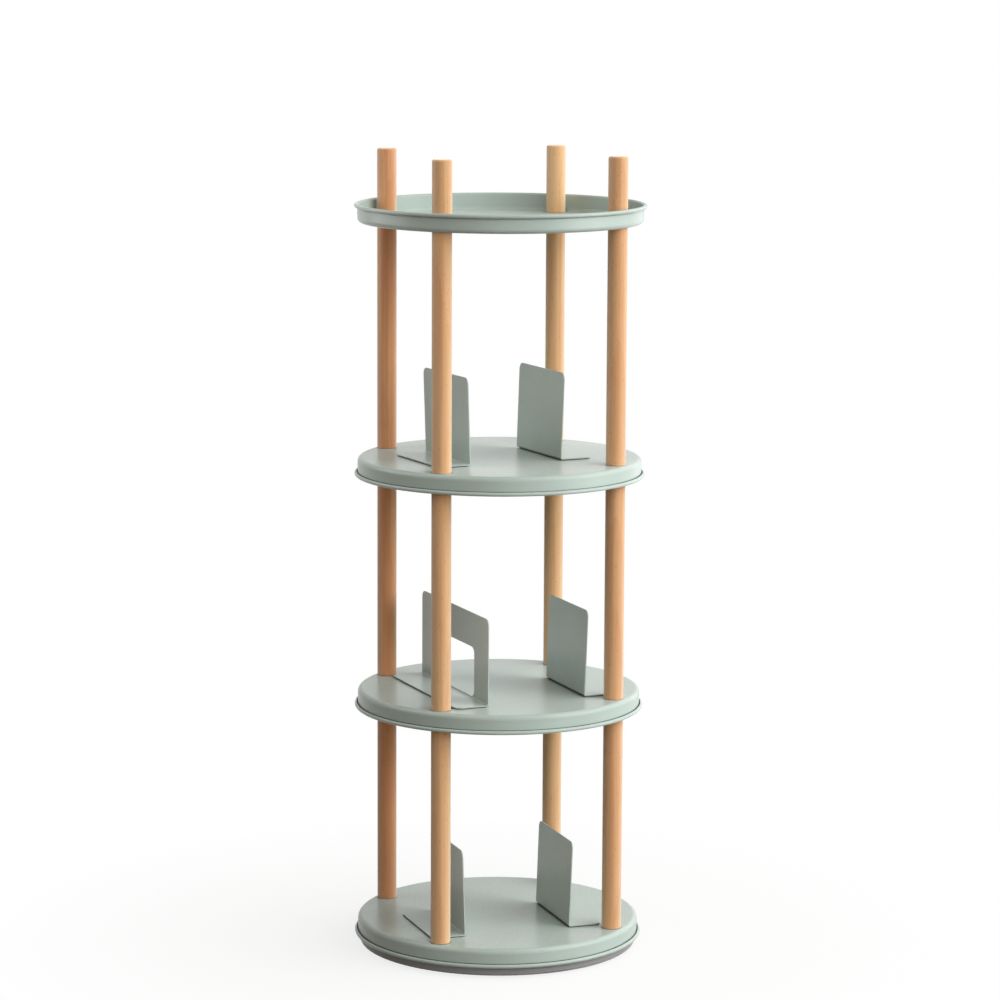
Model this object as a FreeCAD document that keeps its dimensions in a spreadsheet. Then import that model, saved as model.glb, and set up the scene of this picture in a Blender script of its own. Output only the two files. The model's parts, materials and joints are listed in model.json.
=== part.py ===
import FreeCAD, Part
import math
import os
import re

import Sketcher

# Open rotating tower: four pressed-steel pans on beech dowels, turning on a ball-bearing base,
# with loose steel bookends on its three shelves.
# Lengths are in millimetres and angles in degrees. The origin is the centre of the footprint on
# the floor, +Z is up and -Y is the front.

Vector = FreeCAD.Vector

# The posts stand on the diagonals.
DIAGONAL = 45

# Driving dimensions, each set by itself.
SIZES = {
    # pressed pans: the same pressing makes three upside-down shelves and the tray on top
    "lip_radius": 186.0,
    "pan_height": 24.0,
    "pan_sheet": 1.0,
    "pan_bend_inside": 5.0,
    "curl_inside": 1.5,
    # beech dowels on a square, set in from the pans' lips, and the short ones that end the tower
    "post_inset": 10.1,
    "post_radius": 12.5,
    "post_length": 300.0,
    "post_chamfer": 0.6,
    "finial_height": 88.0,
    "finial_round": 3.0,
    # screws and threaded inserts that join the dowels through the pans
    "stud_radius": 4.0,
    "stud_grip": 20.0,
    "stud_root": 30.0,
    "insert_radius": 6.0,
    "insert_length": 25.0,
    "bolt_head_radius": 7.0,
    "bolt_head_height": 4.4,
    "bolt_head_chamfer": 1.2,
    "washer_radius": 8.5,
    "washer_height": 1.6,
    "hole_clearance": 0.3,
    "thread_fit": 0.05,
    "bore_relief": 1.0,
    # pressed base dish on rubber feet, inside the skirt of the lowest shelf
    "base_gap": 2.0,
    "base_height": 24.0,
    "base_sheet": 1.5,
    "base_bend_inside": 4.5,
    "flange_width": 36.0,
    "flange_bend_inside": 1.0,
    "access_radius": 6.0,
    "foot_radius": 9.0,
    "foot_height": 2.0,
    "foot_round": 0.5,
    "foot_count": 8,
    # ball bearing between the dish and the lowest shelf, inside the dowels' washers
    "bearing_clearance": 10.1,
    "bearing_height": 10.0,
    "ring_height": 8.5,
    "ring_width": 24.0,
    "ring_gap": 1.6,
    "ball_radius": 3.0,
    "ball_clearance": 0.05,
    "ball_count": 24,
    "cage_sheet": 0.6,
    "cage_height": 8.0,
    "pocket_clearance": 0.1,
    # small screws, welded studs and nuts that hold the bearing rings
    "screw_radius": 2.0,
    "screw_depth": 6.0,
    "screw_head_radius": 3.8,
    "screw_head_height": 2.4,
    "screw_count": 6,
    "nut_flats": 7.0,
    "nut_height": 3.2,
    "nut_recess": 4.0,
    "nut_clearance": 0.5,
    "weld_stud_recess": 0.5,
    # bent-sheet bookends
    "bookend_height": 112.0,
    "bookend_depth": 45.0,
    "bookend_sheet": 1.2,
    "bookend_bend_inside": 1.5,
    "bookend_corner": 9.0,
    "small_width": 128.0,
    "small_lean": 2.0,
    "large_width": 225.0,
    "large_lean": 0.0,
    "window_margin": 46.0,
    "window_sill": 4.0,
    "window_top": 68.0,
    "pad_thickness": 1.0,
    "pad_inset": 3.0,
    # where the bookends stand: side is how far the near edge of a plate lies inside the posts'
    # centre line, back how far it lies behind the front posts, yaw its turn seen from above
    "upper_left_side": 51.8,
    "upper_left_back": 28.2,
    "upper_left_yaw": 8.0,
    "upper_right_side": 54.5,
    "upper_right_back": 40.5,
    "upper_right_yaw": 7.0,
    "middle_right_side": 33.6,
    "middle_right_back": 3.7,
    "middle_right_yaw": 2.8,
    "base_left_side": 38.4,
    "base_left_back": 2.0,
    "base_left_yaw": 0.6,
    "base_right_side": 52.9,
    "base_right_back": 1.5,
    "base_right_yaw": 0.0,
    # the large bookend stands with the far corner of its foot in front of the back post
    "middle_left_side": 1.4,
    "middle_left_gap": 1.5,
    "middle_left_yaw": 4.0,
}

# Places and sizes worked out from the driving dimensions.
DERIVED = {
    "curl_radius": "curl_inside + pan_sheet",
    "curl_centre": "lip_radius - curl_radius",
    "curl_level": "pan_height - curl_radius",
    "wall_inner": "lip_radius - 2 * curl_radius",
    "wall_outer": "wall_inner + pan_sheet",
    "pan_bend_outside": "pan_bend_inside + pan_sheet",
    "post_circle": "lip_radius - post_inset - post_radius",
    "post_offset": f"post_circle * cos({DIAGONAL})",
    "base_radius": "wall_inner - base_gap",
    "base_bend_outside": "base_bend_inside + base_sheet",
    "flange_bend_outside": "flange_bend_inside + base_sheet",
    "foot_circle": "base_radius - flange_width / 2",
    "dish_under": "foot_height + base_height - base_sheet",
    "dish_top": "foot_height + base_height",
    "base_shelf_under": "dish_top + bearing_height",
    "base_shelf_top": "base_shelf_under + pan_sheet",
    "middle_shelf_under": "base_shelf_top + post_length",
    "middle_shelf_top": "middle_shelf_under + pan_sheet",
    "upper_shelf_under": "middle_shelf_top + post_length",
    "upper_shelf_top": "upper_shelf_under + pan_sheet",
    "tray_under": "upper_shelf_top + post_length",
    "tray_top": "tray_under + pan_sheet",
    "stud_bore": "stud_radius + thread_fit",
    "stud_bore_depth": "stud_root + bore_relief",
    "insert_bore": "insert_radius + thread_fit",
    "insert_bore_depth": "max(insert_length; stud_grip) + bore_relief",
    "lower_ring_outer": "post_circle - washer_radius - bearing_clearance",
    "lower_ring_inner": "lower_ring_outer - ring_width",
    "lower_ring_middle": "lower_ring_inner + ring_width / 2",
    "bearing_radius": "lower_ring_inner - ring_gap / 2",
    "upper_ring_outer": "bearing_radius - ring_gap / 2",
    "upper_ring_inner": "upper_ring_outer - ring_width",
    "upper_ring_middle": "upper_ring_outer - ring_width / 2",
    "upper_ring_under": "base_shelf_under - ring_height",
    "ball_level": "dish_top + bearing_height / 2",
    "groove_radius": "ball_radius + ball_clearance",
    "groove_half": "sqrt(groove_radius ^ 2 - (ring_gap / 2) ^ 2)",
    "nut_corner": "nut_flats / sqrt(3)",
    "bend_radius": "bookend_bend_inside + bookend_sheet",
    "bend_level": "pad_thickness + bend_radius",
}

TIERS = ("lower", "middle", "upper")
SHELVES = ("base", "middle", "upper")
CORNERS = {
    "front_left": (-1, -1),
    "front_right": (1, -1),
    "back_right": (1, 1),
    "back_left": (-1, 1),
}
POST_COUNT = str(len(CORNERS))

doc = FreeCAD.newDocument("rotating_tower")
pieces = []


# Sheets and formulas

def linked(formula):
    """The formula with every size's name pointing at the sheet that holds it."""
    def point(match):
        word = match.group(0)
        if word in SIZES:
            return "Sizes." + word
        if word in DERIVED:
            return "Derived." + word
        return word
    return re.sub(r"[a-z_]+", point, formula)


def make_sheets():
    sizes = doc.addObject("Spreadsheet::Sheet", "Sizes")
    for row, (name, value) in enumerate(SIZES.items(), start=1):
        sizes.set(f"A{row}", name)
        sizes.set(f"B{row}", str(value))
        sizes.setAlias(f"B{row}", name)
    doc.recompute()
    derived = doc.addObject("Spreadsheet::Sheet", "Derived")
    for row, name in enumerate(DERIVED, start=1):
        derived.setAlias(f"B{row}", name)
    for row, (name, formula) in enumerate(DERIVED.items(), start=1):
        derived.set(f"A{row}", name)
        derived.set(f"B{row}", "=" + linked(formula).replace("Derived.", ""))
    doc.recompute()
    return sizes


def number(formula):
    """What a formula comes to now."""
    return float(sheet.evalExpression(linked(formula)))


# Building blocks

def new_piece(name):
    body = doc.addObject("PartDesign::Body", name)
    body.Label = name
    pieces.append(body)
    return body


def origin_part(body, role):
    return next(part for part in body.Origin.OriginFeatures if part.Role == role)


def sketch_on(body, plane, name):
    sketch = body.newObject("Sketcher::SketchObject", f"{body.Name}_{name}")
    sketch.AttachmentSupport = [(origin_part(body, plane), "")]
    sketch.MapMode = "FlatFace"
    return sketch


def fix_point(sketch, edge, point, x, y):
    """Hold a point of a sketch at two formulas; a zero puts it on the axis."""
    for direction, axis, formula in (("DistanceX", -2, x), ("DistanceY", -1, y)):
        if formula is None:
            continue
        if formula == "0":
            sketch.addConstraint(Sketcher.Constraint("PointOnObject", edge, point, axis))
            continue
        index = sketch.addConstraint(Sketcher.Constraint(direction, edge, point, number(formula)))
        sketch.setExpression(f"Constraints[{index}]", linked(formula))


def draw_outline(sketch, path):
    """A closed outline, held at every corner. A step (x, y) is a straight edge that ends there;
    (x, y, centre x, centre y, turn) is an arc, clockwise for turn -1 and the other way for +1."""
    corners = [Vector(number(step[0]), number(step[1]), 0) for step in path]
    start_point = []
    end_point = []
    for index, step in enumerate(path):
        start, end = corners[index - 1], corners[index]
        if len(step) == 2:
            sketch.addGeometry(Part.LineSegment(start, end))
            turn = 1
        else:
            turn = step[4]
            centre = Vector(number(step[2]), number(step[3]), 0)
            circle = Part.Circle(centre, Vector(0, 0, 1), (end - centre).Length)
            first, last = (start, end) if turn > 0 else (end, start)
            angles = [math.atan2(p.y - centre.y, p.x - centre.x) for p in (first, last)]
            sketch.addGeometry(Part.ArcOfCircle(circle, *angles))
        start_point.append(1 if turn > 0 else 2)
        end_point.append(2 if turn > 0 else 1)
    for index, step in enumerate(path):
        following = (index + 1) % len(path)
        sketch.addConstraint(Sketcher.Constraint(
            "Coincident", index, end_point[index], following, start_point[following]))
        fix_point(sketch, index, end_point[index], step[0], step[1])
        if len(step) > 2:
            chord = corners[index] - corners[index - 1]
            across = abs(chord.x) > abs(chord.y)
            fix_point(sketch, index, 3, None if across else step[2], step[3] if across else None)


def revolved(name, path, reach="0"):
    """A piece turned about the upright line that stands at the given reach from the tower's axis."""
    body = new_piece(name)
    sketch = sketch_on(body, "XZ_Plane", "outline")
    sketch.setExpression("AttachmentOffset.Base.x", linked(reach))
    draw_outline(sketch, path)
    turned = body.newObject("PartDesign::Revolution", name + "_turned")
    turned.Profile = sketch
    turned.ReferenceAxis = (sketch, ["V_Axis"])
    turned.Angle = 360
    doc.recompute()
    return body


def repeat_around(body, count):
    """Repeat the body's last feature around the tower's axis."""
    last = body.Tip
    pattern = body.newObject("PartDesign::PolarPattern", body.Name + "_around")
    pattern.Originals = [last]
    pattern.Axis = (origin_part(body, "Z_Axis"), [""])
    pattern.Angle = 360
    pattern.setExpression("Occurrences", linked(count))
    body.Tip = pattern
    doc.recompute()


def cut(body, sketch, depth=None):
    """Cut a sketch through the whole body, or up to a depth, and make sure that it took material."""
    before = body.Shape.Volume
    pocket = body.newObject("PartDesign::Pocket", sketch.Name + "_cut")
    pocket.Profile = sketch
    if depth is None:
        pocket.Type = "ThroughAll"
        pocket.SideType = "Symmetric"
    else:
        pocket.Reversed = True
        pocket.setExpression("Length", linked(depth))
    body.Tip = pocket
    doc.recompute()
    if body.Shape.Volume > before - 1e-6:
        raise RuntimeError(sketch.Name + " cut nothing")


def drill(body, name, radius, reach, depth=None, count="1"):
    """Round holes on a circle about the axis, right through or upwards from the body's underside."""
    sketch = sketch_on(body, "XY_Plane", name)
    sketch.addGeometry(Part.Circle(Vector(number(reach), 0, 0), Vector(0, 0, 1), number(radius)))
    fix_point(sketch, 0, 3, reach, "0")
    index = sketch.addConstraint(Sketcher.Constraint("Radius", 0, number(radius)))
    sketch.setExpression(f"Constraints[{index}]", linked(radius))
    cut(body, sketch, depth)
    if count != "1":
        repeat_around(body, count)


def place(body, x="0", y="0", z="0", turn="0", axis=Vector(0, 0, 1)):
    body.Placement = FreeCAD.Placement(Vector(), FreeCAD.Rotation(axis, number(turn)))
    body.setExpression("Placement.Rotation.Angle", linked(turn))
    for name, formula in (("x", x), ("y", y), ("z", z)):
        body.setExpression(f"Placement.Base.{name}", linked(formula))


# Pressed pans

def make_pan(name, level, upside_down):
    """A round pan with a rolled lip, and one hole over each dowel; its floor lies at local zero."""
    corner = ("wall_outer - pan_bend_outside", "pan_bend_outside")
    curl = ("curl_centre", "curl_level")
    pan = revolved(name, [
        ("0", "0"),
        ("wall_outer - pan_bend_outside", "0"),
        ("wall_outer", "pan_bend_outside", *corner, 1),
        ("wall_outer", "curl_level"),
        ("curl_centre", "curl_level - curl_inside", *curl, -1),
        ("curl_centre", "curl_level - curl_radius"),
        ("wall_inner", "curl_level", *curl, 1),
        ("wall_inner", "pan_bend_outside"),
        ("wall_outer - pan_bend_outside", "pan_sheet", *corner, -1),
        ("0", "pan_sheet"),
    ])
    drill(pan, "post_hole", "stud_radius + hole_clearance", "post_circle", count=POST_COUNT)
    if upside_down:
        # turned over about a level line halfway to the diagonal, so that the holes come out on it
        halfway = math.radians(DIAGONAL / 2)
        place(pan, z=level, turn="180", axis=Vector(math.cos(halfway), math.sin(halfway), 0))
    else:
        place(pan, z=level, turn=str(DIAGONAL))


# Dowels

DOWEL_FOOT = [
    ("0", "insert_bore_depth"),
    ("insert_bore", "insert_bore_depth"),
    ("insert_bore", "0"),
    ("post_radius - post_chamfer", "0"),
    ("post_radius", "post_chamfer"),
]


def make_post(name, corner, level):
    """A full-length dowel, bored for an insert below and a screw above."""
    post = revolved(name, DOWEL_FOOT + [
        ("post_radius", "post_length - post_chamfer"),
        ("post_radius - post_chamfer", "post_length"),
        ("stud_bore", "post_length"),
        ("stud_bore", "post_length - stud_bore_depth"),
        ("0", "post_length - stud_bore_depth"),
    ])
    side, depth = CORNERS[corner]
    place(post, x=f"{side} * post_offset", y=f"{depth} * post_offset", z=level)


def make_finial(name, corner):
    """A short dowel with a rounded top edge, bored for an insert below."""
    finial = revolved(name, DOWEL_FOOT + [
        ("post_radius", "finial_height - finial_round"),
        ("post_radius - finial_round", "finial_height",
         "post_radius - finial_round", "finial_height - finial_round", 1),
        ("0", "finial_height"),
    ])
    side, depth = CORNERS[corner]
    place(finial, x=f"{side} * post_offset", y=f"{depth} * post_offset", z="tray_top")


# Fasteners of the dowels: one solid at each dowel

def at_posts(body, level):
    repeat_around(body, POST_COUNT)
    place(body, z=level, turn=str(DIAGONAL))


def make_inserts(name, level):
    inserts = revolved(name, [
        ("stud_bore", "0"),
        ("insert_radius", "0"),
        ("insert_radius", "insert_length"),
        ("stud_bore", "insert_length"),
    ], reach="post_circle")
    at_posts(inserts, level)


def make_studs(name, level):
    """Double-ended screws: wood thread in the dowel below, machine thread in the insert above."""
    length = "stud_root + pan_sheet + stud_grip"
    studs = revolved(name, [
        ("0", "0"),
        ("stud_radius", "0"),
        ("stud_radius", length),
        ("0", length),
    ], reach="post_circle")
    at_posts(studs, level + " - stud_root")


def make_base_bolts():
    tip = "bolt_head_height + washer_height + pan_sheet + stud_grip"
    bolts = revolved("base_bolts", [
        ("0", "0"),
        ("bolt_head_radius - bolt_head_chamfer", "0"),
        ("bolt_head_radius", "bolt_head_chamfer"),
        ("bolt_head_radius", "bolt_head_height"),
        ("stud_radius", "bolt_head_height"),
        ("stud_radius", tip),
        ("0", tip),
    ], reach="post_circle")
    at_posts(bolts, "base_shelf_under - washer_height - bolt_head_height")


def make_base_washers():
    washers = revolved("base_washers", [
        ("stud_radius + hole_clearance", "0"),
        ("washer_radius", "0"),
        ("washer_radius", "washer_height"),
        ("stud_radius + hole_clearance", "washer_height"),
    ], reach="post_circle")
    at_posts(washers, "base_shelf_under - washer_height")


# Base dish and feet

def make_base_dish():
    """An upside-down dish with a flange turned in at the bottom, drilled for the bearing's screws.
    One wider hole lets a socket reach each nut of the upper ring as the tower is turned."""
    corner = ("base_radius - base_bend_outside", "base_height - base_bend_outside")
    hem = ("base_radius - flange_bend_outside", "flange_bend_outside")
    dish = revolved("base_dish", [
        ("0", "base_height"),
        (corner[0], "base_height"),
        ("base_radius", corner[1], *corner, -1),
        ("base_radius", hem[1]),
        (hem[0], "0", *hem, -1),
        ("base_radius - flange_width", "0"),
        ("base_radius - flange_width", "base_sheet"),
        (hem[0], "base_sheet"),
        ("base_radius - base_sheet", hem[1], *hem, 1),
        ("base_radius - base_sheet", corner[1]),
        (corner[0], "base_height - base_sheet", *corner, 1),
        ("0", "base_height - base_sheet"),
    ])
    drill(dish, "screw_hole", "screw_radius + hole_clearance", "lower_ring_middle", count="screw_count")
    drill(dish, "nut_access", "access_radius", "upper_ring_middle")
    place(dish, z="foot_height")


def make_base_feet():
    feet = revolved("base_feet", [
        ("0", "0"),
        ("foot_radius - foot_round", "0"),
        ("foot_radius", "foot_round", "foot_radius - foot_round", "foot_round", 1),
        ("foot_radius", "foot_height"),
        ("0", "foot_height"),
    ], reach="foot_circle")
    repeat_around(feet, "foot_count")


# Ball bearing

def make_lower_ring():
    """The outer ring, screwed to the dish, with a groove for the balls in its bore."""
    ring = revolved("bearing_lower_ring", [
        ("lower_ring_inner", "0"),
        ("lower_ring_outer", "0"),
        ("lower_ring_outer", "ring_height"),
        ("lower_ring_inner", "ring_height"),
        ("lower_ring_inner", "bearing_height / 2 + groove_half"),
        ("lower_ring_inner", "bearing_height / 2 - groove_half", "bearing_radius", "bearing_height / 2", -1),
    ])
    drill(ring, "screw_hole", "screw_radius + thread_fit", "lower_ring_middle",
          depth="screw_depth + bore_relief", count="screw_count")
    place(ring, z="dish_top")


def make_upper_ring():
    """The inner ring, hung on the lowest shelf's welded studs, with recesses for the nuts below."""
    groove_level = "ring_height - bearing_height / 2"
    ring = revolved("bearing_upper_ring", [
        ("upper_ring_inner", "0"),
        ("upper_ring_outer", "0"),
        ("upper_ring_outer", groove_level + " - groove_half"),
        ("upper_ring_outer", groove_level + " + groove_half", "bearing_radius", groove_level, -1),
        ("upper_ring_outer", "ring_height"),
        ("upper_ring_inner", "ring_height"),
    ])
    drill(ring, "stud_hole", "screw_radius + hole_clearance", "upper_ring_middle", count="screw_count")
    drill(ring, "nut_recess", "nut_corner + nut_clearance", "upper_ring_middle",
          depth="nut_recess", count="screw_count")
    place(ring, z="upper_ring_under")


def make_ring_screws():
    tip = "screw_head_height + base_sheet + screw_depth"
    screws = revolved("lower_ring_screws", [
        ("0", "0"),
        ("screw_head_radius", "0"),
        ("screw_head_radius", "screw_head_height"),
        ("screw_radius", "screw_head_height"),
        ("screw_radius", tip),
        ("0", tip),
    ], reach="lower_ring_middle")
    repeat_around(screws, "screw_count")
    place(screws, z="dish_under - screw_head_height")


def make_weld_studs():
    studs = revolved("upper_ring_studs", [
        ("0", "0"),
        ("screw_radius", "0"),
        ("screw_radius", "ring_height - weld_stud_recess"),
        ("0", "ring_height - weld_stud_recess"),
    ], reach="upper_ring_middle")
    repeat_around(studs, "screw_count")
    place(studs, z="upper_ring_under + weld_stud_recess")


def make_nuts():
    """Six-sided nuts on the welded studs."""
    nuts = new_piece("upper_ring_nuts")
    sketch = sketch_on(nuts, "XY_Plane", "outline")
    sketch.setExpression("AttachmentOffset.Base.x", linked("upper_ring_middle"))
    draw_outline(sketch, [
        (f"nut_corner * cos({angle})", f"nut_corner * sin({angle})") for angle in range(30, 390, 60)
    ])
    hole = sketch.addGeometry(Part.Circle(Vector(), Vector(0, 0, 1), number("screw_radius + thread_fit")))
    fix_point(sketch, hole, 3, "0", "0")
    index = sketch.addConstraint(Sketcher.Constraint("Radius", hole, number("screw_radius + thread_fit")))
    sketch.setExpression(f"Constraints[{index}]", linked("screw_radius + thread_fit"))
    pad = nuts.newObject("PartDesign::Pad", "upper_ring_nuts_pad")
    pad.Profile = sketch
    pad.setExpression("Length", linked("nut_height"))
    doc.recompute()
    repeat_around(nuts, "screw_count")
    place(nuts, z="upper_ring_under + nut_recess - nut_height")


def make_balls():
    balls = revolved("bearing_balls", [
        ("0", "0"),
        ("0", "2 * ball_radius", "0", "ball_radius", 1),
    ], reach="bearing_radius")
    repeat_around(balls, "ball_count")
    place(balls, z="ball_level - ball_radius")


def make_cage():
    """A thin band between the rings, with a round pocket for each ball."""
    inside = "bearing_radius - cage_sheet / 2"
    outside = "bearing_radius + cage_sheet / 2"
    cage = revolved("ball_cage", [
        (inside, "0"),
        (outside, "0"),
        (outside, "cage_height"),
        (inside, "cage_height"),
    ])
    pocket = sketch_on(cage, "YZ_Plane", "pocket")
    radius = "ball_radius + pocket_clearance"
    level = "cage_height / 2"
    pocket.addGeometry(Part.Circle(Vector(0, number(level), 0), Vector(0, 0, 1), number(radius)))
    fix_point(pocket, 0, 3, "0", level)
    index = pocket.addConstraint(Sketcher.Constraint("Radius", 0, number(radius)))
    pocket.setExpression(f"Constraints[{index}]", linked(radius))
    cut(cage, pocket, depth="bearing_radius + cage_sheet")
    repeat_around(cage, "ball_count")
    place(cage, z="ball_level - cage_height / 2")


# Bookends

def thickness_edges(shape, thickness):
    """The straight edges as long as the sheet is thick: the corners of a plate's outline."""
    return [
        f"Edge{index}" for index, edge in enumerate(shape.Edges, start=1)
        if isinstance(edge.Curve, Part.Line) and abs(edge.Length - thickness) < 1e-6
    ]


def make_bookend(name, width, lean, window=False):
    """A bent plate: its upright stands over local zero and its foot runs along +X on a thin pad."""
    body = new_piece(name)
    rise = f"(bookend_height - bend_level - bend_radius * sin({lean})) / cos({lean})"
    bend = ("bend_radius", "bend_level")
    inner = [f"bend_radius - bookend_bend_inside * cos({lean})",
             f"bend_level + bookend_bend_inside * sin({lean})"]
    outer = [f"bend_radius - bend_radius * cos({lean})", f"bend_level + bend_radius * sin({lean})"]
    top = [f" + {rise} * sin({lean})", f" + {rise} * cos({lean})"]
    sketch = sketch_on(body, "XZ_Plane", "profile")
    draw_outline(sketch, [
        ("bend_radius", "pad_thickness", *bend, 1),
        ("bookend_depth", "pad_thickness"),
        ("bookend_depth", "pad_thickness + bookend_sheet"),
        ("bend_radius", "pad_thickness + bookend_sheet"),
        (*inner, *bend, -1),
        (inner[0] + top[0], inner[1] + top[1]),
        (outer[0] + top[0], outer[1] + top[1]),
        tuple(outer),
    ])
    plate = body.newObject("PartDesign::Pad", name + "_plate")
    plate.Profile = sketch
    plate.SideType = "Symmetric"
    plate.setExpression("Length", linked(width))
    doc.recompute()
    if window:
        half = f"({width} / 2 - window_margin)"
        opening = sketch_on(body, "YZ_Plane", "window")
        draw_outline(opening, [
            (half, "window_sill"),
            (half, "window_top"),
            ("-" + half, "window_top"),
            ("-" + half, "window_sill"),
        ])
        cut(body, opening)
    sharp = body.Tip
    rounded = body.newObject("PartDesign::Fillet", name + "_corners")
    rounded.Base = (sharp, thickness_edges(sharp.Shape, number("bookend_sheet")))
    rounded.setExpression("Radius", linked("bookend_corner"))
    body.Tip = rounded
    doc.recompute()
    return body


def make_pad(name, width):
    """The thin non-slip pad under a bookend's foot."""
    body = new_piece(name)
    sketch = sketch_on(body, "XY_Plane", "outline")
    half = f"({width} / 2 - pad_inset)"
    draw_outline(sketch, [
        ("bend_radius", "-" + half),
        ("bookend_depth - pad_inset", "-" + half),
        ("bookend_depth - pad_inset", half),
        ("bend_radius", half),
    ])
    pad = body.newObject("PartDesign::Pad", name + "_sheet")
    pad.Profile = sketch
    pad.setExpression("Length", linked("pad_thickness"))
    doc.recompute()
    return body


def place_small_bookend(body, shelf, side):
    """Stand a small bookend by the near lower edge of its plate."""
    spot = f"{shelf}_{side}"
    yaw = f"{spot}_yaw"
    sign = "-" if side == "left" else ""
    x = f"{sign}(post_offset - {spot}_side) - sin({yaw}) * small_width / 2"
    y = f"cos({yaw}) * small_width / 2 - (post_offset - post_radius - {spot}_back)"
    turn = f"{yaw} + 180" if side == "left" else yaw
    place(body, x, y, f"{shelf}_shelf_top", turn)


def place_large_bookend(body):
    """Stand the large bookend by the far outer corner of its foot, in front of the back left post."""
    yaw = "middle_left_yaw"
    x = f"middle_left_side - post_offset + sin({yaw}) * large_width / 2 + cos({yaw}) * bookend_depth"
    y = (f"post_offset - post_radius - middle_left_gap"
         f" - cos({yaw}) * large_width / 2 + sin({yaw}) * bookend_depth")
    place(body, x, y, "middle_shelf_top", f"{yaw} + 180")


# The whole tower

def make_base():
    make_base_dish()
    make_base_feet()
    make_lower_ring()
    make_ring_screws()
    make_balls()
    make_cage()


def make_tower():
    make_upper_ring()
    make_weld_studs()
    make_nuts()
    for shelf in SHELVES:
        make_pan(f"{shelf}_shelf", f"{shelf}_shelf_top", upside_down=True)
    make_pan("top_tray", "tray_under", upside_down=False)
    make_base_bolts()
    make_base_washers()
    for tier, shelf in zip(TIERS, SHELVES):
        level = f"{shelf}_shelf_top"
        for corner in CORNERS:
            make_post(f"{tier}_post_{corner}", corner, level)
        make_inserts(f"{tier}_post_inserts", level)
    for corner in CORNERS:
        make_finial(f"finial_{corner}", corner)
    make_inserts("finial_inserts", "tray_top")
    make_studs("middle_shelf_studs", "middle_shelf_under")
    make_studs("upper_shelf_studs", "upper_shelf_under")
    make_studs("tray_studs", "tray_under")


def make_bookends():
    for shelf in SHELVES:
        for side in ("left", "right"):
            name = f"{shelf}_bookend_{side}"
            if (shelf, side) == ("middle", "left"):
                place_large_bookend(make_bookend(name, "large_width", "large_lean", window=True))
                place_large_bookend(make_pad(name + "_pad", "large_width"))
            else:
                place_small_bookend(make_bookend(name, "small_width", "small_lean"), shelf, side)
                place_small_bookend(make_pad(name + "_pad", "small_width"), shelf, side)


def check_and_write():
    doc.recompute()
    for item in doc.Objects:
        if {"Invalid", "Error"} & set(item.State):
            raise RuntimeError(f"{item.Label} failed: {item.State}")
    for piece in pieces:
        if piece.Shape.isNull() or not piece.Shape.isValid():
            raise RuntimeError(f"{piece.Label} has no valid shape")
    os.makedirs("parts", exist_ok=True)
    for piece in pieces:
        piece.Shape.exportStep(f"parts/{piece.Label}.step")


sheet = make_sheets()
make_base()
make_tower()
make_bookends()
check_and_write()
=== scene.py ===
import json
import math
import random

import bpy
from mathutils import Matrix, Vector


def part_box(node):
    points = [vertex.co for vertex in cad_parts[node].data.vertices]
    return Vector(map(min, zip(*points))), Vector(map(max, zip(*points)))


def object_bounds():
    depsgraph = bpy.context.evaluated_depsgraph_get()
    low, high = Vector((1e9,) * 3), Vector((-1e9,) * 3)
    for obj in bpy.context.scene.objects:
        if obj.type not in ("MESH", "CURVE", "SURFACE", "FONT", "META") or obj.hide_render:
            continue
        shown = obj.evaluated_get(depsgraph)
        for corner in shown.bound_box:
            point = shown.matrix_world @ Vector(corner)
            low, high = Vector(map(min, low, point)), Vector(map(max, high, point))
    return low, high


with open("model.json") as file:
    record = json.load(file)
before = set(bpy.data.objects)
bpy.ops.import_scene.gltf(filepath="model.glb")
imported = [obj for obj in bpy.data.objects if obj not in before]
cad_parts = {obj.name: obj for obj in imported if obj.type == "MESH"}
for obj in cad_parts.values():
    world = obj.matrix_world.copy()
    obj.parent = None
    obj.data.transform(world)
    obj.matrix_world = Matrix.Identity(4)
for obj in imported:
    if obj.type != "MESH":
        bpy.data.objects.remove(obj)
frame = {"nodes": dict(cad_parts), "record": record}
cad_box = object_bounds()

# Open rotating tower of pressed-steel pans and beech dowels. Lengths are in metres, in the frame's
# own axes: the tower turns about Z, and -Y is its front.


# Camera, at the photograph's viewing angle

CAMERA_PLACE = Vector((-1.5182, -4.4546, 1.3278))
CAMERA_HEADING = math.radians(-18.83)
CAMERA_PITCH = math.radians(-9.007)
CAMERA_ROLL = math.radians(0.269)
SENSOR_WIDTH_MM = 36
FOCAL_LENGTH_IN_WIDTHS = 3.709
FARTHEST_SEEN = 100


def make_camera():
    data = bpy.data.cameras.new("camera")
    data.sensor_width = SENSOR_WIDTH_MM
    data.lens = FOCAL_LENGTH_IN_WIDTHS * data.sensor_width
    data.clip_end = FARTHEST_SEEN
    camera = bpy.data.objects.new("camera", data)
    bpy.context.scene.collection.objects.link(camera)
    turned = Matrix.Rotation(CAMERA_HEADING, 4, "Z")
    pitched = Matrix.Rotation(math.pi / 2 + CAMERA_PITCH, 4, "X")
    rolled = Matrix.Rotation(CAMERA_ROLL, 4, "Z")
    camera.matrix_world = Matrix.Translation(CAMERA_PLACE) @ turned @ pitched @ rolled
    bpy.context.scene.camera = camera


# Shader helpers

# The range that most values of a noise fall in
NOISE_SPAN = (0.3, 0.7)


def new_material(name):
    material = bpy.data.materials.new(name)
    material.use_nodes = True
    material.node_tree.nodes.clear()
    return material, material.node_tree


def add(tree, kind, inputs=None, **settings):
    """A node with its settings made, and each input set to a value or linked to a socket."""
    made = tree.nodes.new(kind)
    for name, value in settings.items():
        setattr(made, name, value)
    for key, value in (inputs or {}).items():
        if isinstance(value, bpy.types.NodeSocket):
            tree.links.new(value, made.inputs[key])
        else:
            made.inputs[key].default_value = value
    return made


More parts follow.
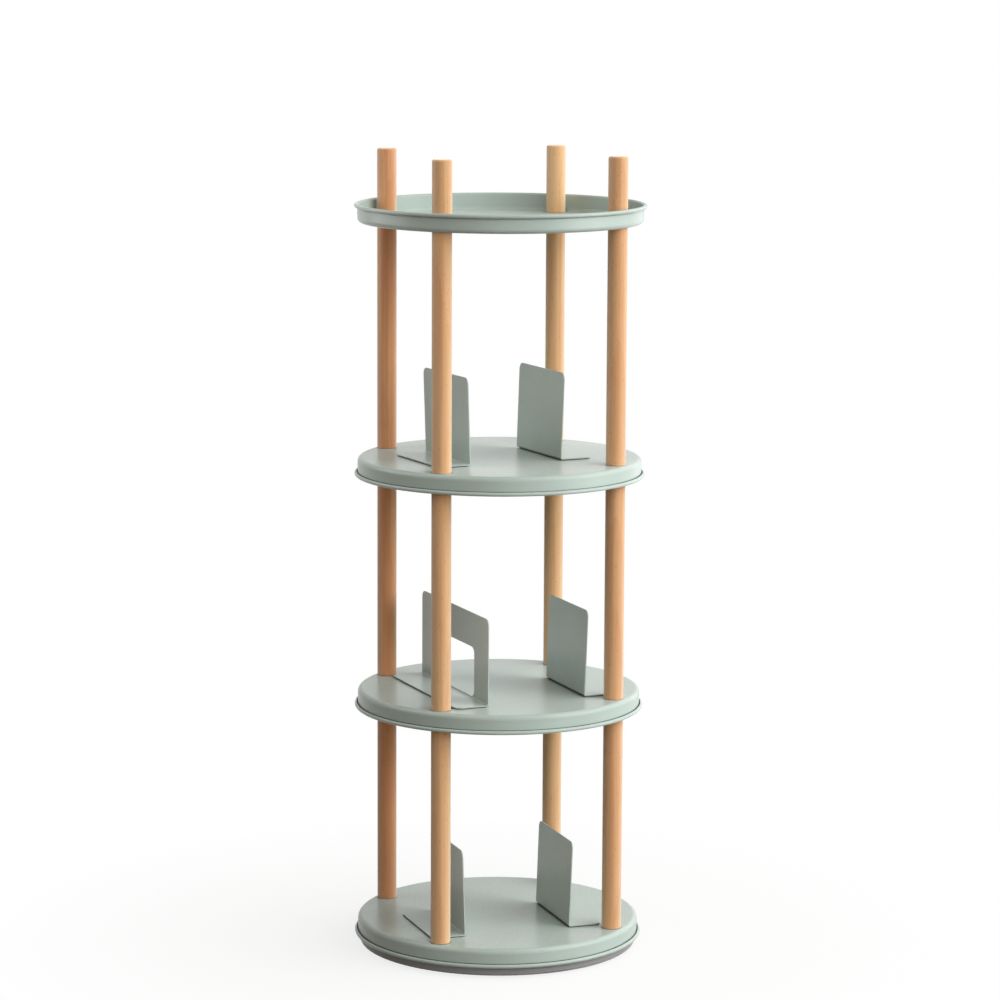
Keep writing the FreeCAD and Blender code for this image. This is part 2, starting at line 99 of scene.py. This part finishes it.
def math_node(tree, operation, *values):
    return add(tree, "ShaderNodeMath", dict(enumerate(values)), operation=operation).outputs[0]


def vector_node(tree, operation, *values):
    """Vector arithmetic: a length or a dot product gives a number, anything else a vector."""
    made = add(tree, "ShaderNodeVectorMath", dict(enumerate(values)), operation=operation)
    gives_number = operation in ("DOT_PRODUCT", "LENGTH")
    return made.outputs["Value" if gives_number else "Vector"]


def object_place(tree):
    return add(tree, "ShaderNodeTexCoord").outputs["Object"]


def surface_normal(tree):
    return add(tree, "ShaderNodeNewGeometry").outputs["Normal"]


def noise(tree, place, scale, detail, roughness=0.5):
    inputs = {"Vector": place, "Scale": scale, "Detail": detail, "Roughness": roughness}
    return add(tree, "ShaderNodeTexNoise", inputs).outputs["Fac"]


def drawn_out(tree, place, across, along):
    """A place scaled for a texture that is finer across Z than along it."""
    return vector_node(tree, "MULTIPLY", place, (across, across, along))


def remap(tree, value, source, target):
    inputs = {"Value": value, "From Min": source[0], "From Max": source[1]}
    inputs.update({"To Min": target[0], "To Max": target[1]})
    return add(tree, "ShaderNodeMapRange", inputs).outputs["Result"]


def mix(tree, share, first, second):
    """A blend of two colours, each a colour or a socket."""
    made = add(tree, "ShaderNodeMix", {0: share}, data_type="RGBA")
    for key, value in ((6, first), (7, second)):
        if isinstance(value, bpy.types.NodeSocket):
            tree.links.new(value, made.inputs[key])
        else:
            made.inputs[key].default_value = (*value, 1)
    return made.outputs[2]


def mix_value(tree, share, first, second):
    return add(tree, "ShaderNodeMix", {0: share, 2: first, 3: second}).outputs[0]


def shade(colour, factor, lift=0):
    return tuple(min(1, part * factor + lift) for part in colour)


def raised(tree, height, strength, distance):
    """A normal bent by a fine relief."""
    inputs = {"Strength": strength, "Distance": distance, "Height": height}
    return add(tree, "ShaderNodeBump", inputs).outputs[0]


def finish_surface(tree, **inputs):
    shader = add(tree, "ShaderNodeBsdfPrincipled", {
        name.replace("_", " "): value for name, value in inputs.items()
    })
    output = add(tree, "ShaderNodeOutputMaterial")
    tree.links.new(shader.outputs[0], output.inputs["Surface"])


# Powder coat

EDGE_WEAR_AND_HIGHLIGHT_RADIUS = 0.0006
EDGE_WEAR_AND_HIGHLIGHT_SHARE = 0.35
CREVICE_REACH = 0.007


def powder_coat(name, colour, roughness, painted_crevice_shade):
    """Semi-gloss powder coat: a fine orange peel, a faint mottle, painted shade in the crevices, and paler
    edges, partly wear and partly painted highlight.
    """
    material, tree = new_material(name)
    place = object_place(tree)
    light = shade(colour, 1.04)
    mottle = remap(tree, noise(tree, place, scale=14, detail=3), NOISE_SPAN, (0, 1))
    tone = mix(tree, mottle, shade(colour, 0.96), light)
    grain = remap(tree, noise(tree, place, scale=2600, detail=1), (0.35, 0.65), (0, 0.10))
    speckled = mix(tree, grain, tone, light)
    # Paler edges: partly wear and partly a painted highlight of the light that the edges catch.
    rounded = add(tree, "ShaderNodeBevel", {"Radius": EDGE_WEAR_AND_HIGHLIGHT_RADIUS}, samples=6).outputs[0]
    flatness = vector_node(tree, "DOT_PRODUCT", surface_normal(tree), rounded)
    edge = remap(tree, flatness, (0.97, 0.80), (0, EDGE_WEAR_AND_HIGHLIGHT_SHARE))
    worn_and_highlit = mix(tree, edge, speckled, shade(colour, 1.25, lift=0.03))
    # Painted shade: crevices found by ambient occlusion are darkened towards near black, standing in for
    # the shade that falls there.
    openness = add(tree, "ShaderNodeAmbientOcclusion", {"Distance": CREVICE_REACH}, samples=8).outputs["AO"]
    crevice = remap(tree, openness, (0.72, 0.56), (0, painted_crevice_shade))
    peel = noise(tree, place, scale=1500, detail=2)
    finish_surface(
        tree,
        Base_Color=mix(tree, crevice, worn_and_highlit, shade(colour, 0.12)),
        Roughness=remap(tree, peel, NOISE_SPAN, (roughness - 0.02, roughness + 0.02)),
        Specular_IOR_Level=0.3,
        Sheen_Weight=0.25,
        Sheen_Roughness=0.35,
        Normal=raised(tree, peel, strength=0.03, distance=0.0002),
    )
    return material


# Beech

BEECH_PALE = (0.655, 0.367, 0.150)
BEECH_WARM = (0.53, 0.182, 0.045)
BEECH_FLECK = (0.26, 0.090, 0.030)
BEECH_SHEEN = (1.0, 0.95, 0.80, 1.0)
HEART_DISTANCE = 0.035
HEART_TURN_PER_SEED = 2.4
HEIGHT_PER_SEED = 0.61
RINGS_PER_METRE = 300
RING_SWAY = 0.010
FLECK_SHARE = 0.6
CELLS_WITHOUT_FLECK = 0.88


def growth_rings(tree, local):
    """0 to 1 across each yearly ring, rising steeply towards its late wood."""
    sway = noise(tree, drawn_out(tree, local, across=22, along=3.0), scale=1, detail=2)
    from_heart = vector_node(tree, "LENGTH", drawn_out(tree, local, across=1, along=0.02))
    wavy = math_node(tree, "ADD", from_heart, math_node(tree, "MULTIPLY", sway, RING_SWAY))
    ring = math_node(tree, "FRACT", math_node(tree, "MULTIPLY", wavy, RINGS_PER_METRE))
    return math_node(tree, "POWER", ring, 2.5)


def ray_flecks(tree, local):
    """1 inside the short dark flecks, which only some cells of the pattern have."""
    cells = add(tree, "ShaderNodeTexVoronoi", {
        "Vector": drawn_out(tree, local, across=560, along=170), "Scale": 1.0, "Randomness": 1.0,
    }).outputs
    inside = remap(tree, cells["Distance"], (0.30, 0.18), (0, 1))
    pick = add(tree, "ShaderNodeSeparateColor", {0: cells["Color"]}).outputs[0]
    return math_node(tree, "MULTIPLY", inside, math_node(tree, "GREATER_THAN", pick, CELLS_WITHOUT_FLECK))


def beech(name, axis, seed, tone_and_shade):
    """Lacquered beech with growth rings about a far-off heart, fibres along the dowel and ray flecks."""
    material, tree = new_material(name)
    heart_angle = seed * HEART_TURN_PER_SEED
    heart = Vector((math.cos(heart_angle), math.sin(heart_angle), 0)) * HEART_DISTANCE
    offset = (heart.x - axis[0], heart.y - axis[1], seed * HEIGHT_PER_SEED)
    local = vector_node(tree, "ADD", object_place(tree), offset)
    cloud = noise(tree, drawn_out(tree, local, across=30, along=4), scale=1, detail=1)
    streak = noise(tree, drawn_out(tree, local, across=240, along=3.5), scale=1, detail=3, roughness=0.6)
    fibre = noise(tree, drawn_out(tree, local, across=1500, along=26), scale=1, detail=3, roughness=0.6)
    fleck = math_node(tree, "MULTIPLY", ray_flecks(tree, local), FLECK_SHARE)
    # The tone darkens the wood, partly as its own colour and partly as painted shade.
    cloudy = remap(tree, cloud, NOISE_SPAN, (tone_and_shade - 0.15, tone_and_shade + 0.15))
    streaky = math_node(tree, "ADD", cloudy, remap(tree, streak, NOISE_SPAN, (-0.25, 0.45)))
    ringed = math_node(tree, "ADD", streaky, math_node(tree, "MULTIPLY", growth_rings(tree, local), 0.20))
    fibrous = math_node(tree, "ADD", ringed, remap(tree, fibre, NOISE_SPAN, (-0.15, 0.15)))
    flecked = mix(tree, fleck, mix(tree, fibrous, BEECH_PALE, BEECH_WARM), BEECH_FLECK)
    upright = add(tree, "ShaderNodeSeparateXYZ", {0: surface_normal(tree)}).outputs["Z"]
    end_grain = remap(tree, math_node(tree, "ABSOLUTE", upright), (0.75, 0.98), (0, 0.25))
    finish_surface(
        tree,
        Base_Color=mix(tree, end_grain, flecked, BEECH_WARM),
        Roughness=remap(tree, fibre, NOISE_SPAN, (0.32, 0.44)),
        Specular_IOR_Level=0.05,
        Sheen_Weight=1.0,
        Sheen_Roughness=0.7,
        Sheen_Tint=BEECH_SHEEN,
        Normal=raised(tree, math_node(tree, "SUBTRACT", fibre, fleck), strength=0.16, distance=0.00012),
    )
    return material


# Bare metal

def bare_metal(name, colour, roughness, turned=False):
    """Metal with fine tool marks, turned around the tower's axis or drawn along Z."""
    material, tree = new_material(name)
    place = object_place(tree)
    if turned:
        from_axis = vector_node(tree, "LENGTH", drawn_out(tree, place, across=1, along=0))
        marks_place = add(tree, "ShaderNodeCombineXYZ", {"X": from_axis}).outputs[0]
        marks = noise(tree, marks_place, scale=3000, detail=2)
    else:
        marks = noise(tree, drawn_out(tree, place, across=2400, along=120), scale=1, detail=2)
    cloud = remap(tree, noise(tree, place, scale=60, detail=3), NOISE_SPAN, (0, 1))
    finish_surface(
        tree,
        Base_Color=mix(tree, cloud, shade(colour, 0.82), colour),
        Metallic=1.0,
        Roughness=remap(tree, marks, NOISE_SPAN, (roughness - 0.06, roughness + 0.08)),
        Normal=raised(tree, marks, strength=0.08, distance=0.0001),
    )
    return material


# Rubber and nylon

def moulded(name, colour, roughness):
    """Rubber or nylon with a fine moulded texture."""
    material, tree = new_material(name)
    place = object_place(tree)
    skin = noise(tree, place, scale=1800, detail=2)
    cloud = remap(tree, noise(tree, place, scale=40, detail=2), NOISE_SPAN, (0, 1))
    finish_surface(
        tree,
        Base_Color=mix(tree, cloud, colour, shade(colour, 1.25)),
        Roughness=remap(tree, skin, NOISE_SPAN, (roughness - 0.05, roughness + 0.05)),
        Normal=raised(tree, skin, strength=0.2, distance=0.0002),
    )
    return material


# Dressing of the solids

SAGE = (0.40, 0.485, 0.445)
SAGE_ROUGHNESS = 0.28
DARK_GREY = (0.265, 0.268, 0.272)
ZINC = (0.62, 0.64, 0.66)
ALUMINIUM = (0.76, 0.77, 0.78)
BRASS = (0.70, 0.53, 0.27)
POLISHED_STEEL = (0.75, 0.75, 0.76)
NYLON_WHITE = (0.70, 0.70, 0.67)
RUBBER_BLACK = (0.022, 0.022, 0.022)
CHANCE_SEED = 5

# How deep the tone of each corner's dowels is, partly the wood's own tone and partly painted shade: the
# back left ones are the darkest
DOWEL_TONE_AND_SHADE = {"front_left": 0.08, "front_right": 0.29, "back_right": -0.05, "back_left": 0.84}
DEPTH_SPREAD = 0.1


def dress(node, material):
    data = frame["nodes"][node].data
    data.materials.clear()
    data.materials.append(material)


def dowel_axis(node):
    low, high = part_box(node)
    middle = (low + high) / 2
    return middle.x, middle.y


def dowel_tone_and_shade(node, chance):
    corner = "_".join(node.split("_")[-2:])
    return DOWEL_TONE_AND_SHADE[corner] + chance.uniform(-DEPTH_SPREAD, DEPTH_SPREAD)


def dress_all():
    chance = random.Random(CHANCE_SEED)
    # The last argument is how much painted shade the crevices get; the bookends' bent sheets get less.
    bent_sheet = powder_coat("sage_bent_sheet", SAGE, SAGE_ROUGHNESS, painted_crevice_shade=0.2)
    plain = {
        "sage_powder_coat": powder_coat("sage_powder_coat", SAGE, SAGE_ROUGHNESS, painted_crevice_shade=0.9),
        "grey_powder_coat": powder_coat("grey_powder_coat", DARK_GREY, 0.38, painted_crevice_shade=0.6),
        "zinc_steel": bare_metal("zinc_steel", ZINC, 0.32),
        "aluminium": bare_metal("aluminium", ALUMINIUM, 0.30, turned=True),
        "brass": bare_metal("brass", BRASS, 0.30),
        "bearing_steel": bare_metal("bearing_steel", POLISHED_STEEL, 0.12),
        "white_nylon": moulded("white_nylon", NYLON_WHITE, 0.5),
        "black_rubber": moulded("black_rubber", RUBBER_BLACK, 0.75),
    }
    for index, subpart in enumerate(frame["record"]["subparts"]):
        node, slot = subpart["node"], subpart["material_slot"]
        if slot == "beech":
            dress(node, beech(f"beech_{node}", dowel_axis(node), index, dowel_tone_and_shade(node, chance)))
        elif slot == "sage_powder_coat" and "bookend" in node:
            dress(node, bent_sheet)
        else:
            dress(node, plain[slot])


# Floor and surround

WHITE = (1, 1, 1)
FLOOR_REACH = 30
FLOOR_BOUNCE = (0.145, 0.112, 0.076)
FLOOR_PALE = (0.86, 0.86, 0.86)
SHADOW_SPAN = (0.19, 0.7)
WHITENESS_AT_OBJECT = 0.80
SURROUND_DIM = 0.05
SURROUND_BRIGHT = 2.78
DIM_SIDE_TINT = (1, 0.64, 0.36)


def seen_ray(tree, path):
    """1 for the rays that see the white backdrop, 0 for those that only gather light."""
    mirrored = math_node(tree, "MAXIMUM", path["Is Glossy Ray"], path["Is Transmission Ray"])
    return math_node(tree, "MAXIMUM", path["Is Camera Ray"], mirrored)


def floor_material():
    """White like the backdrop far off, and matte near the object, where it keeps the shadow."""
    material, tree = new_material("floor")
    distance = vector_node(tree, "LENGTH", object_place(tree))
    whiteness = remap(tree, distance, SHADOW_SPAN, (WHITENESS_AT_OBJECT, 1))
    path = add(tree, "ShaderNodeLightPath").outputs
    colour = mix(tree, path["Is Camera Ray"], FLOOR_BOUNCE, FLOOR_PALE)
    matte = add(tree, "ShaderNodeBsdfDiffuse", {"Color": colour})
    white = add(tree, "ShaderNodeEmission", {"Color": (*WHITE, 1), "Strength": 1.0})
    white_share = math_node(tree, "MULTIPLY", whiteness, seen_ray(tree, path))
    blend = add(tree, "ShaderNodeMixShader", {0: white_share, 1: matte.outputs[0], 2: white.outputs[0]})
    output = add(tree, "ShaderNodeOutputMaterial")
    tree.links.new(blend.outputs[0], output.inputs["Surface"])
    return material


def make_floor():
    mesh = bpy.data.meshes.new("floor")
    corners = [(x * FLOOR_REACH, y * FLOOR_REACH, 0) for x, y in ((-1, -1), (1, -1), (1, 1), (-1, 1))]
    mesh.from_pydata(corners, [], [(0, 1, 2, 3)])
    mesh.materials.append(floor_material())
    floor = bpy.data.objects.new("floor", mesh)
    bpy.context.scene.collection.objects.link(floor)


def make_world(bright_side):
    """A white surround that lights the object more from the bright side, and warmer from the other."""
    world = bpy.data.worlds.new("studio")
    world.use_nodes = True
    tree = world.node_tree
    tree.nodes.clear()
    seen = seen_ray(tree, add(tree, "ShaderNodeLightPath").outputs)
    direction = add(tree, "ShaderNodeTexCoord").outputs["Generated"]
    lean = vector_node(tree, "DOT_PRODUCT", direction, bright_side)
    level = remap(tree, lean, (-0.2, 1), (SURROUND_DIM, SURROUND_BRIGHT))
    tint = mix(tree, remap(tree, lean, (-0.3, 0.4), (0, 1)), DIM_SIDE_TINT, WHITE)
    background = add(tree, "ShaderNodeBackground", {
        "Color": mix(tree, seen, tint, WHITE), "Strength": mix_value(tree, seen, level, 1.0),
    })
    output = add(tree, "ShaderNodeOutputWorld")
    tree.links.new(background.outputs[0], output.inputs["Surface"])
    bpy.context.scene.world = world


# Lamps

BRIGHT_SIDE_TURN = 69


def make_lamp(name, place, target, size, power):
    data = bpy.data.lights.new(name, "AREA")
    data.shape = "RECTANGLE"
    data.size, data.size_y = size
    data.energy = power
    lamp = bpy.data.objects.new(name, data)
    bpy.context.scene.collection.objects.link(lamp)
    aim = (target - place).to_track_quat("-Z", "Y").to_matrix().to_4x4()
    lamp.matrix_world = Matrix.Translation(place) @ aim


def around(centre, turn, reach, height):
    """A place round the centre: the turn is to the right of the camera's side, in degrees."""
    to_camera = CAMERA_PLACE - centre
    angle = math.atan2(to_camera.y, to_camera.x) + math.radians(turn)
    return Vector((centre.x + reach * math.cos(angle), centre.y + reach * math.sin(angle), height))


def make_studio():
    bpy.context.scene.view_settings.view_transform = "Standard"
    middle = (cad_box[0] + cad_box[1]) / 2
    tray = sum(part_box("top_tray"), Vector()) / 2
    make_floor()
    bright_place = around(middle, BRIGHT_SIDE_TURN, reach=2.0, height=0.45)
    make_world((bright_place - middle).normalized())
    key_place = around(middle, BRIGHT_SIDE_TURN, reach=1.5, height=1.0)
    make_lamp("key", key_place, middle, size=(1.0, 1.4), power=11)
    back_place = around(middle, turn=140, reach=1.6, height=0.9)
    make_lamp("back", back_place, middle, size=(0.8, 1.6), power=2.5)
    rim_place = around(middle, turn=-95, reach=0.8, height=1.15)
    make_lamp("rim", rim_place, tray, size=(0.6, 0.6), power=3.2)


make_camera()
make_studio()
dress_all()
